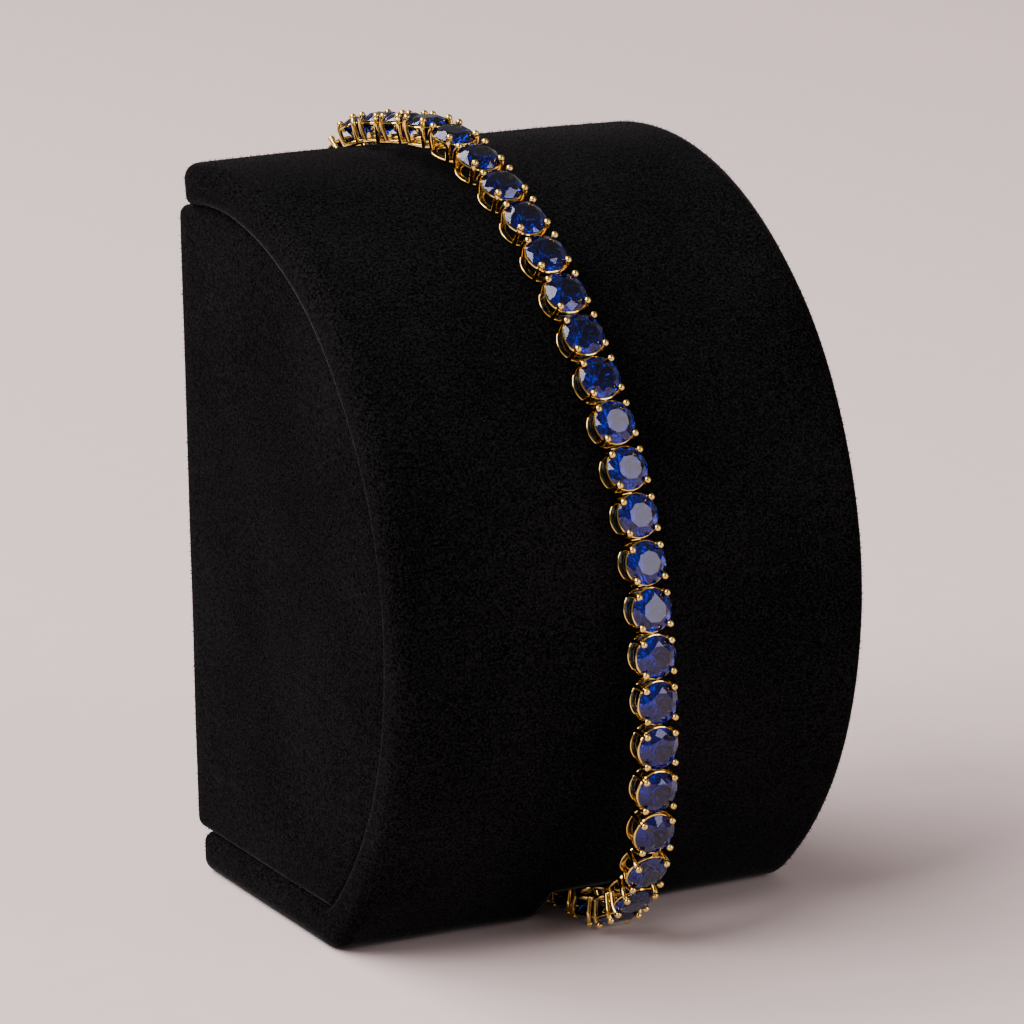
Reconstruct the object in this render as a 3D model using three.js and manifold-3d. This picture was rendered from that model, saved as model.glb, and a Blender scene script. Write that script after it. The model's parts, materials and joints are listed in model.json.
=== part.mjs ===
// A tennis bracelet of round blue stones in yellow gold, on a half-moon display stand.
// Millimetres, +Z up. X runs along the stand, and the padded curve faces -Y. The stand's flat back lies
// in the plane y = 0 and its underside in z = 0, and the whole group is then centred over its footprint.
import * as THREE from 'three';
import Module from 'manifold-3d';
import { mergeVertices } from 'three/addons/utils/BufferGeometryUtils.js';

const wasm = await Module();
wasm.setup();

// Padded wrap of the stand: a band that covers the curved front and turns under the block
const standWidth = 41;
const arcRadius = 33.4;
const arcCentreHeight = 26.9;
const arcCentreDepth = 7.5;
const wrapThickness = 3.25;
const wrapBackStep = 2.2;
const wrapTopRadius = 1.8;
const wrapFootRadius = 2.4;
const wrapRimRadius = 0.9;

// Block of the stand, which carries the wrap and shows as the flat end panels and the back
const blockRecess = 0.5;
const blockGap = 0.15;
const blockTopRadius = 1.5;
const blockFootRadius = 2.0;
const blockNoseRadius = 1.6;
const blockRimRadius = 1.1;

// Channel across the underside, through which the bracelet passes
const channelWidth = 7;
const channelCentre = 0.5;

// Stones: round cuts with a table, a knife-edge girdle and a pointed pavilion
const stoneDiameter = 3.45;
const tableShare = 0.57;
const crownHeight = 0.52;
const pavilionDepth = 1.48;
const girdleSides = 16;
const tableSides = 8;

// One link: a gallery rail, four claws and a hinge barrel, with heights from its inner face
const linkPitch = 3.6;
const railRadius = 1.49;
const railWidth = 0.3;
const railHeight = 0.42;
const railStepsBetweenClaws = 2;
const hingeHeight = 0.45;
const barrelRadius = 0.3;
const barrelLength = 1.2;
const barrelSides = 6;
const girdleHeight = 1.88;
const clawWidth = 0.32;
const clawGap = 0.03;
const clawTipWidth = 0.42;
const clawLean = 0.16;
const clawTopHeight = 2.66;

// Clasp: one plain box with a fork at each end, in the hidden stretch at the back
const claspLeastLength = 10;
const claspWidth = 3.2;
const claspThickness = 2.2;
const claspEdge = 0.4;
const forkWidth = 0.7;
const forkThickness = 0.9;
const forkReach = 0.5;
const claspGap = 0.12;

// Links up to the floor at the front are one run, and the rest are the second
const frontRunLinks = 28;
const runGap = 0.06;

// Route of the hinge line over the front, station by station: [aside, lift off the wrap]. The stations
// lie at even angles about the arc's centre, from the back edge of the wrap towards its foot
const frontStations = [
  [-5.0, 0.28], [-4.7, 1.4], [-4.05, 2.9], [-3.22, 2.7], [-2.45, 2.07], [-1.74, 1.41], [-1.14, 1.04],
  [-0.66, 1.08], [-0.32, 1.34], [-0.11, 2.06], [0.06, 3.24], [0.4, 4.4], [0.9, 2.7],
];

// Route under the stand: [aside, depth behind the foot], with the claws just clear of the floor
const underStations = [[1.05, -2.8], [0.7, 13.3], [0.3, 24.3]];
const floorGap = 0.19;

// Route up the back: [aside, gap behind the block, height], then the two ends of the clasp's stretch:
// [aside, gap behind the block, drop from the top of the stand]
const backStations = [[0, 1.4, 3.2], [-0.5, 4.6, 7.5], [-1.1, 5.6, 15], [-2.4, 3.4, 31]];
const claspStations = [[-4.4, 1.3, 10.3], [-4.85, 1.05, 6.9]];
const routeSteps = 4000;

// Fineness of the facets, and how close two corners are to count as one
const arcSegments = 20;
const cornerSegments = 4;
const rimSegments = 2;
const weldDistance = 1e-5;

const velvet = () => new THREE.MeshStandardMaterial({ color: 0x08080a, roughness: 1.0, metalness: 0.0 });
const gold = () => new THREE.MeshStandardMaterial({ color: 0xe0ae5a, roughness: 0.2, metalness: 1.0 });
const blueStone = () => new THREE.MeshStandardMaterial({ color: 0x1a3fb4, roughness: 0.05, metalness: 0.0 });

// A closed geometry as a solid that can be joined and cut
function toSolid(geometry) {
  const bare = geometry.clone();
  bare.deleteAttribute('normal');
  bare.deleteAttribute('uv');
  const merged = mergeVertices(bare, weldDistance);
  const vertProperties = new Float32Array(merged.attributes.position.array);
  const triVerts = new Uint32Array(merged.index.array);
  return new wasm.Manifold(new wasm.Mesh({ numProp: 3, vertProperties, triVerts }));
}

// A joined or cut solid back as a geometry
function toGeometry(solid) {
  const mesh = solid.getMesh();
  const geometry = new THREE.BufferGeometry();
  geometry.setAttribute('position', new THREE.Float32BufferAttribute(mesh.vertProperties, 3));
  geometry.setIndex(new THREE.Uint32BufferAttribute(mesh.triVerts, 1));
  geometry.computeVertexNormals();
  return geometry;
}

// Replaces a corner of an outline by an arc that touches both of its sides
function roundedCorner(before, corner, after, radius) {
  const toBefore = before.clone().sub(corner).normalize();
  const toAfter = after.clone().sub(corner).normalize();
  const half = Math.acos(toBefore.dot(toAfter)) / 2;
  const inward = toBefore.clone().add(toAfter).normalize();
  const middle = inward.multiplyScalar(radius / Math.sin(half)).add(corner);
  const start = toBefore.multiplyScalar(radius / Math.tan(half)).add(corner);
  const end = toAfter.multiplyScalar(radius / Math.tan(half)).add(corner);
  const from = start.clone().sub(middle).angle();
  let turn = end.clone().sub(middle).angle() - from;
  turn -= 2 * Math.PI * Math.round(turn / (2 * Math.PI));
  return Array.from({ length: cornerSegments + 1 }, (_, i) => {
    const angle = from + turn * i / cornerSegments;
    return new THREE.Vector2(Math.cos(angle), Math.sin(angle)).multiplyScalar(radius).add(middle);
  });
}

// Rounds the corners of an outline that have a radius; each entry is [point, radius]
function roundedOutline(entries) {
  const count = entries.length;
  return entries.flatMap(([point, radius], i) => {
    if (!radius) return [point];
    const before = entries[(i + count - 1) % count][0];
    const after = entries[(i + 1) % count][0];
    return roundedCorner(before, point, after, radius);
  });
}

// The stand's curve at a given inset, from the plane y = backDepth over the front down to the height foot
function frontArc(inset, backDepth, foot) {
  const radius = arcRadius - inset;
  const top = Math.acos((backDepth + arcCentreDepth) / radius);
  const bottom = 1.5 * Math.PI - Math.acos((arcCentreHeight - foot) / radius);
  return Array.from({ length: arcSegments + 1 }, (_, i) => {
    const angle = top + (bottom - top) * i / arcSegments;
    const [depth, height] = [radius * Math.cos(angle), radius * Math.sin(angle)];
    return new THREE.Vector2(depth - arcCentreDepth, height + arcCentreHeight);
  });
}

// Extrudes an outline in the plane of Y and Z along X, centred, with rounded ends
function alongStand(outline, width, rim) {
  const geometry = new THREE.ExtrudeGeometry(new THREE.Shape(outline), {
    depth: width - 2 * rim, bevelThickness: rim, bevelSize: rim, bevelOffset: -rim,
    bevelSegments: rimSegments, steps: 1,
  });
  geometry.translate(0, 0, -(width - 2 * rim) / 2);
  const axes = [new THREE.Vector3(0, 1, 0), new THREE.Vector3(0, 0, 1), new THREE.Vector3(1, 0, 0)];
  return geometry.applyMatrix4(new THREE.Matrix4().makeBasis(...axes));
}

// Band over the curved front and under the block, with the bracelet's channel cut through its foot
function wrapGeometry() {
  const outer = frontArc(0, -wrapBackStep, 0);
  const inner = frontArc(wrapThickness, -wrapBackStep, wrapThickness).reverse();
  const outline = roundedOutline([
    ...outer.map((point, i) => [point, i === 0 ? wrapTopRadius : i === outer.length - 1 ? wrapFootRadius : 0]),
    [new THREE.Vector2(-wrapBackStep, 0), 0],
    [new THREE.Vector2(-wrapBackStep, wrapThickness), 0],
    ...inner.map((point) => [point, 0]),
  ]);
  const band = toSolid(alongStand(outline, standWidth, wrapRimRadius));
  const reach = 2 * arcRadius;
  const cut = new THREE.BoxGeometry(channelWidth, reach, wrapThickness + 2 * blockGap);
  cut.translate(channelCentre, 0, wrapThickness / 2);
  return toGeometry(band.subtract(toSolid(cut)));
}

// Solid block inside the band, with its flat back and its two end panels
function blockGeometry() {
  const inset = wrapThickness + blockGap;
  const curve = frontArc(inset, 0, inset);
  const outline = roundedOutline([
    ...curve.map((point, i) => [point, i === 0 ? blockTopRadius : i === curve.length - 1 ? blockNoseRadius : 0]),
    [new THREE.Vector2(0, inset), blockFootRadius],
  ]);
  return alongStand(outline, standWidth - 2 * blockRecess, blockRimRadius);
}

// Gathers points and faces into one closed geometry
function meshBuilder() {
  const positions = [];
  const faces = [];
  const ring = (points) => points.map((point) => positions.push(...point) / 3 - 1);
  const triangle = (a, b, c) => {
    if (a !== b && b !== c && c !== a) faces.push(a, b, c);
  };
  const quad = (a, b, c, d) => {
    triangle(a, b, c);
    triangle(a, c, d);
  };
  const geometry = () => {
    const result = new THREE.BufferGeometry();
    result.setAttribute('position', new THREE.Float32BufferAttribute(positions, 3));
    result.setIndex(faces);
    result.computeVertexNormals();
    return result;
  };
  return { ring, triangle, quad, geometry };
}

// A ring of points about the local Z axis
function circle(sides, radius, height, turn = 0) {
  return Array.from({ length: sides }, (_, i) => {
    const angle = turn + 2 * Math.PI * i / sides;
    return [radius * Math.cos(angle), radius * Math.sin(angle), height];
  });
}

// A cut stone on its link: a pointed pavilion, a knife-edge girdle, and a crown up to an eight-sided table
function stoneGeometry() {
  const mesh = meshBuilder();
  const radius = stoneDiameter / 2;
  const girdleLevel = girdleHeight - hingeHeight;
  const [culet] = mesh.ring([[0, 0, girdleLevel - pavilionDepth]]);
  const girdle = mesh.ring(circle(girdleSides, radius, girdleLevel));
  const turn = Math.PI / girdleSides;
  const table = mesh.ring(circle(tableSides, radius * tableShare, girdleLevel + crownHeight, turn));
  for (let i = 0; i < girdleSides; i += 1) {
    const next = (i + 1) % girdleSides;
    const above = table[Math.floor(i * tableSides / girdleSides)];
    const aboveNext = table[Math.floor((i + 1) * tableSides / girdleSides) % tableSides];
    mesh.triangle(culet, girdle[next], girdle[i]);
    mesh.quad(girdle[i], girdle[next], aboveNext, above);
  }
  for (let i = 1; i < tableSides - 1; i += 1) mesh.triangle(table[0], table[i], table[i + 1]);
  return mesh.geometry();
}

// Four-cornered level of a claw that stands out in a direction, from its inner corner on
function clawLevel(direction, radius, height, width) {
  const half = width / 2;
  return [[-half, -half], [half, -half], [half, half], [-half, half]].map(([out, aside]) => [
    (radius + out) * Math.cos(direction) - aside * Math.sin(direction),
    (radius + out) * Math.sin(direction) + aside * Math.cos(direction),
    height - hingeHeight,
  ]);
}

// A link between two hinges, with the hinge line at height 0: a gallery rail, out of which rise
// four claws that pass outside the girdle and lean in over the crown
function linkGeometry() {
  const mesh = meshBuilder();
  const [inner, outer] = [railRadius - railWidth / 2, railRadius + railWidth / 2];
  const [floor, roof] = [-hingeHeight, railHeight - hingeHeight];
  const corners = [[outer, floor], [outer, roof], [inner, roof], [inner, floor]];
  const clawHalf = Math.asin(clawWidth / 2 / railRadius);
  const step = (Math.PI / 2 - 2 * clawHalf) / railStepsBetweenClaws;
  const sections = [];
  for (let quarter = 0; quarter < 4; quarter += 1) {
    const direction = Math.PI / 4 + quarter * Math.PI / 2;
    const angles = [direction - clawHalf];
    for (let k = 0; k < railStepsBetweenClaws; k += 1) angles.push(direction + clawHalf + k * step);
    angles.forEach((angle) => {
      const [x, y] = [Math.cos(angle), Math.sin(angle)];
      sections.push(mesh.ring(corners.map(([radius, height]) => [radius * x, radius * y, height])));
    });
  }
  const outside = stoneDiameter / 2 + clawGap + clawWidth / 2;
  sections.forEach((section, i) => {
    const next = sections[(i + 1) % sections.length];
    const quarter = i / (railStepsBetweenClaws + 1);
    const underClaw = Number.isInteger(quarter);
    for (let k = 0; k < 4; k += 1) {
      const above = (k + 1) % 4;
      if (k !== 1 || !underClaw) mesh.quad(section[k], next[k], next[above], section[above]);
    }
    if (!underClaw) return;
    const direction = Math.PI / 4 + quarter * Math.PI / 2;
    const levels = [
      [section[2], section[1], next[1], next[2]],
      mesh.ring(clawLevel(direction, outside, girdleHeight, clawWidth)),
      mesh.ring(clawLevel(direction, outside - clawLean, clawTopHeight, clawTipWidth)),
    ];
    levels.slice(1).forEach((level, n) => {
      const below = levels[n];
      for (let k = 0; k < 4; k += 1) {
        const after = (k + 1) % 4;
        mesh.quad(below[k], below[after], level[after], level[k]);
      }
    });
    mesh.quad(...levels[2]);
  });
  return mesh.geometry();
}

// The route's points, from the upper end of the clasp over the front, under the stand and up the back
function routePoints() {
  const edgeAngle = -Math.asin((arcCentreDepth - wrapBackStep) / arcRadius);
  const footAngle = Math.PI - Math.acos(arcCentreHeight / arcRadius);
  const footDepth = -arcCentreDepth - arcRadius * Math.sin(footAngle);
  const standTop = arcCentreHeight + arcRadius;
  const underHeight = clawTopHeight - hingeHeight + floorGap;
  const front = frontStations.map(([aside, lift], i) => {
    const angle = edgeAngle + (footAngle - edgeAngle) * i / frontStations.length;
    const radius = arcRadius + lift;
    return [aside, -arcCentreDepth - radius * Math.sin(angle), arcCentreHeight + radius * Math.cos(angle)];
  });
  const under = underStations.map(([aside, depth]) => [aside, footDepth + depth, underHeight]);
  const [lower, upper] = claspStations.map(([aside, gap, drop]) => [aside, gap, standTop - drop]);
  return [upper, ...front, ...under, ...backStations, lower].map((point) => new THREE.Vector3(...point));
}

// Points on the route one pitch apart in a straight line, as the hinges of equal links are
function hingePoints() {
  const curve = new THREE.CatmullRomCurve3(routePoints(), true, 'centripetal');
  const fine = curve.getSpacedPoints(routeSteps);
  const claspSteps = Math.ceil(claspLeastLength / curve.getLength() * routeSteps);
  const hinges = [fine[0]];
  for (let i = 1; i <= routeSteps - claspSteps; i += 1) {
    const last = hinges[hinges.length - 1];
    const [before, after] = [last.distanceTo(fine[i - 1]), last.distanceTo(fine[i])];
    if (after >= linkPitch && before < linkPitch) {
      hinges.push(fine[i - 1].clone().lerp(fine[i], (linkPitch - before) / (after - before)));
    }
  }
  return hinges;
}

// Frame of a straight piece between two hinges: along the row, across it, and outwards
function linkMatrix(from, to) {
  const along = to.clone().sub(from).normalize();
  const across = new THREE.Vector3(1, 0, 0).addScaledVector(along, -along.x).normalize();
  const outward = new THREE.Vector3().crossVectors(along, across);
  const middle = from.clone().add(to).multiplyScalar(0.5);
  return new THREE.Matrix4().makeBasis(along, across, outward).setPosition(middle);
}

// Links from one hinge to another, fused by the barrels between them and at both ends
function runGeometry(hinges, first, last) {
  const link = linkGeometry();
  const barrel = new THREE.CylinderGeometry(barrelRadius, barrelRadius, barrelLength, barrelSides);
  const pieces = [];
  for (let i = first; i < last; i += 1) {
    const matrix = linkMatrix(hinges[i], hinges[i + 1]);
    pieces.push(toSolid(link.clone().applyMatrix4(matrix)));
    const nextRail = linkPitch - railRadius - railWidth / 2;
    const barrels = i === first && first > 0 ? [] : [-linkPitch / 2];
    if (i === hinges.length - 2) barrels.push(linkPitch / 2);
    else if (i === last - 1) barrels.push(nextRail - runGap - barrelRadius);
    barrels.forEach((x) => {
      pieces.push(toSolid(barrel.clone().translate(x, 0, 0).applyMatrix4(matrix)));
    });
  }
  return toGeometry(wasm.Manifold.union(pieces));
}

// Plain box clasp whose forks straddle the barrels of the first and last links
function claspGeometry(length) {
  const bodyLength = length - 2 * (barrelRadius + claspGap);
  const outline = new THREE.Shape([[-1, -1], [1, -1], [1, 1], [-1, 1]].map(([x, y]) => (
    new THREE.Vector2(x * bodyLength / 2, y * claspWidth / 2)
  )));
  const body = new THREE.ExtrudeGeometry(outline, {
    depth: claspThickness - 2 * claspEdge, bevelThickness: claspEdge, bevelSize: claspEdge,
    bevelOffset: -claspEdge, bevelSegments: rimSegments, steps: 1,
  });
  body.translate(0, 0, claspEdge - hingeHeight);
  let clasp = toSolid(body);
  const forkLength = 2 * (barrelRadius + claspGap + claspEdge) + forkReach;
  const forkCentre = barrelLength / 2 + claspGap + forkWidth / 2;
  for (const end of [-1, 1]) {
    for (const side of [-1, 1]) {
      const cheek = new THREE.BoxGeometry(forkLength, forkWidth, forkThickness);
      const inset = bodyLength / 2 + forkReach - forkLength / 2;
      cheek.translate(end * inset, side * forkCentre, forkThickness / 2 - hingeHeight + claspEdge / 2);
      clasp = clasp.add(toSolid(cheek));
    }
  }
  return toGeometry(clasp);
}

// A named piece with its own material, placed by a matrix where it has one
function piece(name, geometry, material, matrix) {
  const mesh = new THREE.Mesh(geometry, material);
  mesh.name = name;
  if (matrix) matrix.decompose(mesh.position, mesh.quaternion, mesh.scale);
  return mesh;
}

const hinges = hingePoints();
const linkCount = hinges.length - 1;
const frontLinks = Math.min(frontRunLinks, linkCount - 1);

const display = new THREE.Group();
display.add(piece('stand_block', blockGeometry(), velvet()));
display.add(piece('stand_wrap', wrapGeometry(), velvet()));

const bracelet = new THREE.Group();
bracelet.add(piece('links_front', runGeometry(hinges, 0, frontLinks), gold()));
bracelet.add(piece('links_back', runGeometry(hinges, frontLinks, linkCount), gold()));
const claspSpan = hinges[linkCount].distanceTo(hinges[0]);
bracelet.add(piece('clasp', claspGeometry(claspSpan), gold(), linkMatrix(hinges[linkCount], hinges[0])));
for (let i = 0; i < linkCount; i += 1) {
  const name = `stone_${String(i + 1).padStart(2, '0')}`;
  bracelet.add(piece(name, stoneGeometry(), blueStone(), linkMatrix(hinges[i], hinges[i + 1])));
}

// The origin is under the middle of the whole, on the surface that the stand rests on
const whole = new THREE.Group();
whole.add(display, bracelet);
const box = new THREE.Box3().setFromObject(whole, true);
const footing = box.getCenter(new THREE.Vector3());
whole.position.set(-footing.x, -footing.y, -box.min.z);

export default whole;
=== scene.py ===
# %% [markdown]
# # A tennis bracelet on its display stand
# A tennis bracelet is a row of equal stones, each in its own small basket of gold wire, and every basket
# is hinged to the next. Here it lies round a half-moon stand that is covered in black velvet.
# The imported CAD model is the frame: it says where each stone sits, and everything made below is placed
# by it. Lengths are written in millimetres and turned into Blender's metres once, with MM.

# %% Load the frame
import json
import math

import bmesh
import bpy
import numpy as np
from mathutils import Matrix, Vector, noise

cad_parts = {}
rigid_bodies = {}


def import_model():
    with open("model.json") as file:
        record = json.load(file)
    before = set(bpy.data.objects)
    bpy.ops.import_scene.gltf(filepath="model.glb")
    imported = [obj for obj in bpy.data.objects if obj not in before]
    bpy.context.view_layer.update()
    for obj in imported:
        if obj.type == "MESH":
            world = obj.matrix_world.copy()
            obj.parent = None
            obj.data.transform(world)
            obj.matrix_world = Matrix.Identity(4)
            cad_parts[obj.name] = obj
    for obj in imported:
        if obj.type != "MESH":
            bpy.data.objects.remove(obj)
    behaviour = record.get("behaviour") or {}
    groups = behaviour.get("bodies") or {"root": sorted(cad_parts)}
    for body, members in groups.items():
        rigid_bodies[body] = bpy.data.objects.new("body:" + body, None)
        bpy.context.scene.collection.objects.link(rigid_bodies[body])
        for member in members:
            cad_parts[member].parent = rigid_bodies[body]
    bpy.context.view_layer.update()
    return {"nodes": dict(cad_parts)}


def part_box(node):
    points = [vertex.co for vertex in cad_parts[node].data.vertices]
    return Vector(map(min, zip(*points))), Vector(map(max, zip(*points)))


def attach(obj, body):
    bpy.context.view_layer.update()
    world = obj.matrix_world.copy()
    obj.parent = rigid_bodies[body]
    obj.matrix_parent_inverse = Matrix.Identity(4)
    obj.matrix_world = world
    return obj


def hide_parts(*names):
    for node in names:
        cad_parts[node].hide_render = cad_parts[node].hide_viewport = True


MM = 0.001
for leftover in list(bpy.data.objects):
    bpy.data.objects.remove(leftover)
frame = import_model()

# %% [markdown]
# ## The camera
# The photograph was taken with a long lens, so lines hardly converge. A camera is easiest to place by
# what it looks at: a target in the middle of the part, a direction given by two angles, and a distance.
# The small roll is a third angle, about the line of sight.

# %% Camera at the photograph's viewing angle
CAMERA_TARGET = Vector((-2.70, -6.27, 33.39)) * MM
CAMERA_AZIMUTH = math.radians(-27.15)
CAMERA_ELEVATION = math.radians(13.72)
CAMERA_ROLL = math.radians(-0.85)
CAMERA_DISTANCE = 401.1 * MM
CAMERA_LENS = 176.3


def aimed(position, back, roll=0.0):
    """The matrix of a camera or lamp at a position, whose local Z points back along a direction."""
    back = back.normalized()
    right = Vector((0, 0, 1)).cross(back).normalized()
    up = back.cross(right)
    tilted_right = right * math.cos(roll) + up * math.sin(roll)
    tilted_up = up * math.cos(roll) - right * math.sin(roll)
    turn = Matrix((tilted_right, tilted_up, back)).transposed()
    return Matrix.Translation(position) @ turn.to_4x4()


def direction(azimuth, elevation):
    """From the part towards an azimuth, which is 0 in front and grows to the right, and an elevation."""
    flat = math.cos(elevation)
    return Vector((math.sin(azimuth) * flat, -math.cos(azimuth) * flat, math.sin(elevation)))


back = direction(CAMERA_AZIMUTH, CAMERA_ELEVATION)
camera = bpy.data.objects.new("photo_camera", bpy.data.cameras.new("photo_camera"))
camera.data.lens = CAMERA_LENS
camera.matrix_world = aimed(CAMERA_TARGET + back * CAMERA_DISTANCE, back, CAMERA_ROLL)
bpy.context.scene.collection.objects.link(camera)
bpy.context.scene.camera = camera
print("camera at, mm:", [round(value / MM, 1) for value in camera.location])

# %% [markdown]
# ## Where each link sits
# A repeated piece needs a place and a turn for every copy. They could be worked out again from the
# route, but the CAD stones already hold them. A stone has a flat table, a pointed culet and a round
# girdle, and these corners lie at three different distances from the stone's middle. Sorting by that
# distance tells them apart: the table and the culet give the outward direction, and the girdle corner
# that looks towards the next stone gives the direction along the row.

# %% Read the places of the links from the CAD stones
TABLE_CORNERS = 8
GIRDLE_ABOVE_HINGE = 1.43 * MM
LINK_PITCH = 3.6 * MM
FRONT_LINKS = 28

stone_nodes = sorted(name for name in frame["nodes"] if name.startswith("stone_"))


def node_corners(name):
    """The corners of a CAD node, each only once, because its triangles are loose."""
    welded = bmesh.new()
    welded.from_mesh(frame["nodes"][name].data)
    bmesh.ops.remove_doubles(welded, verts=welded.verts, dist=0.005 * MM)
    corners = [vertex.co.copy() for vertex in welded.verts]
    welded.free()
    return corners


def mean(points):
    """The middle of some points."""
    return sum(points, Vector()) / len(points)


def stone_place(name):
    """The middle of a stone's girdle, its outward direction and its girdle corners."""
    corners = node_corners(name)
    middle = mean(corners)
    corners.sort(key=lambda corner: (corner - middle).length)
    table, culet, girdle = corners[:TABLE_CORNERS], corners[TABLE_CORNERS], corners[TABLE_CORNERS + 1:]
    return mean(girdle), (mean(table) - culet).normalized(), girdle


places = [stone_place(name) for name in stone_nodes]
links = []
for i, (middle, outward, girdle) in enumerate(places):
    before = places[max(i - 1, 0)][0]
    after = places[min(i + 1, len(places) - 1)][0]
    along = max(((corner - middle).normalized() for corner in girdle), key=lambda d: d.dot(after - before))
    links.append((middle - outward * GIRDLE_ABOVE_HINGE, along, outward))
print("links:", len(links), "with", FRONT_LINKS, "in the front run")

# %% [markdown]
# ## Recipes in Geometry Nodes
# Geometry Nodes are a recipe that Blender cooks whenever a size changes. A tree written in Python stays
# readable if each line adds one node and says what goes into it. The small class below does that: the
# sizes become named inputs of the tree, and a node's input takes either a plain value or the output of
# a node that came before.

# %% A writer of Geometry Nodes trees
class Recipe:
    """A Geometry Nodes tree whose named inputs are sizes in metres."""

    def __init__(self, name, sizes):
        self.tree = bpy.data.node_groups.new(name, "GeometryNodeTree")
        self.tree.interface.new_socket("Geometry", in_out="INPUT", socket_type="NodeSocketGeometry")
        self.tree.interface.new_socket("Geometry", in_out="OUTPUT", socket_type="NodeSocketGeometry")
        self.sizes = sizes
        for label in sizes:
            self.tree.interface.new_socket(label, in_out="INPUT", socket_type="NodeSocketFloat")
        self.entry = self.tree.nodes.new("NodeGroupInput")

    def size(self, label):
        """The output that carries one of the named sizes."""
        return self.entry.outputs[label]

    def add(self, kind, wanted=0, setup=None, **inputs):
        """Adds a node and returns one of its outputs. Inputs are given as i0, i1 and so on."""
        node = self.tree.nodes.new(kind)
        for key, value in (setup or {}).items():
            setattr(node, key, value)
        for key, value in inputs.items():
            socket = node.inputs[int(key[1:])]
            for part in value if isinstance(value, list) else [value]:
                if isinstance(part, bpy.types.NodeSocket):
                    self.tree.links.new(part, socket)
                else:
                    socket.default_value = part
        return node.outputs[wanted]

    def math(self, operation, first, second=0.0):
        """A sum or product of two values or outputs."""
        return self.add("ShaderNodeMath", setup={"operation": operation}, i0=first, i1=second)

    def vector(self, x=0.0, y=0.0, z=0.0):
        """Three values or outputs as one vector."""
        return self.add("ShaderNodeCombineXYZ", i0=x, i1=y, i2=z)

    def serve(self, geometry, material):
        """Ends the recipe: copies become real faces with a material."""
        real = self.add("GeometryNodeRealizeInstances", i0=geometry)
        painted = self.add("GeometryNodeSetMaterial", i0=real, i2=material)
        self.tree.links.new(painted, self.tree.nodes.new("NodeGroupOutput").inputs[0])

    def cook(self, name, start, smooth_angle=None):
        """Runs the recipe on a mesh and returns the result as a plain mesh object."""
        holder = bpy.data.objects.new(name + "_places", start)
        bpy.context.scene.collection.objects.link(holder)
        modifier = holder.modifiers.new("recipe", "NODES")
        modifier.node_group = self.tree
        for item in self.tree.interface.items_tree:
            if item.in_out == "INPUT" and item.name in self.sizes:
                modifier[item.identifier] = self.sizes[item.name]
        bpy.context.view_layer.update()
        cooked = holder.evaluated_get(bpy.context.evaluated_depsgraph_get())
        mesh = bpy.data.meshes.new_from_object(cooked)
        bpy.data.objects.remove(holder)
        return finished(name, mesh, smooth_angle)


def finished(name, mesh, smooth_angle=None):
    """Puts a mesh in the scene. Edges sharper than the angle stay crisp, and no angle leaves all flat."""
    for polygon in mesh.polygons:
        polygon.use_smooth = smooth_angle is not None
    if smooth_angle is not None:
        mesh.set_sharp_from_angle(angle=math.radians(smooth_angle))
    mesh.name = name
    piece = bpy.data.objects.new(name, mesh)
    bpy.context.scene.collection.objects.link(piece)
    print(name + ":", len(mesh.polygons), "faces")
    return piece


def place_mesh(chosen):
    """A mesh of one point for each link, which carries the link's two directions."""
    mesh = bpy.data.meshes.new("places")
    mesh.from_pydata([origin for origin, _, _ in chosen], [], [])
    for label, column in (("along", 1), ("outward", 2)):
        layer = mesh.attributes.new(label, "FLOAT_VECTOR", "POINT")
        layer.data.foreach_set("vector", [value for link in chosen for value in link[column]])
    return mesh


def turned_to_link(recipe):
    """The turn that brings a copy's X along the row and its Z outwards."""
    along, outward = (
        recipe.add("GeometryNodeInputNamedAttribute", setup={"data_type": "FLOAT_VECTOR"}, i0=label)
        for label in ("along", "outward")
    )
    axes = {"primary_axis": "Z", "secondary_axis": "X"}
    return recipe.add("FunctionNodeAxesToRotation", setup=axes, i0=outward, i1=along)


# %% [markdown]
# ## Polished gold
# Yellow gold is a metal, so its colour is in its reflections. A mirror-like metal shows every small
# unevenness, and a perfectly even one looks like plastic. Two noises help: a slow one varies the polish
# a little, and a fine one adds the ripple of a hand-polished surface through a bump.

# %% Gold
def material(name):
    """A new material with its main shader, and a function that adds nodes to it."""
    made = bpy.data.materials.new(name)
    made.use_nodes = True
    tree = made.node_tree
    shader = tree.nodes["Principled BSDF"]

    def add(kind, inputs=None, wanted=0, **setup):
        """Adds a node and returns one of its outputs. Inputs are values or outputs, by label."""
        node = tree.nodes.new(kind)
        for key, value in setup.items():
            setattr(node, key, value)
        for key, value in (inputs or {}).items():
            if isinstance(value, bpy.types.NodeSocket):
                tree.links.new(value, node.inputs[key])
            else:
                node.inputs[key].default_value = value
        return node.outputs[wanted]

    return made, shader, tree, add


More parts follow.
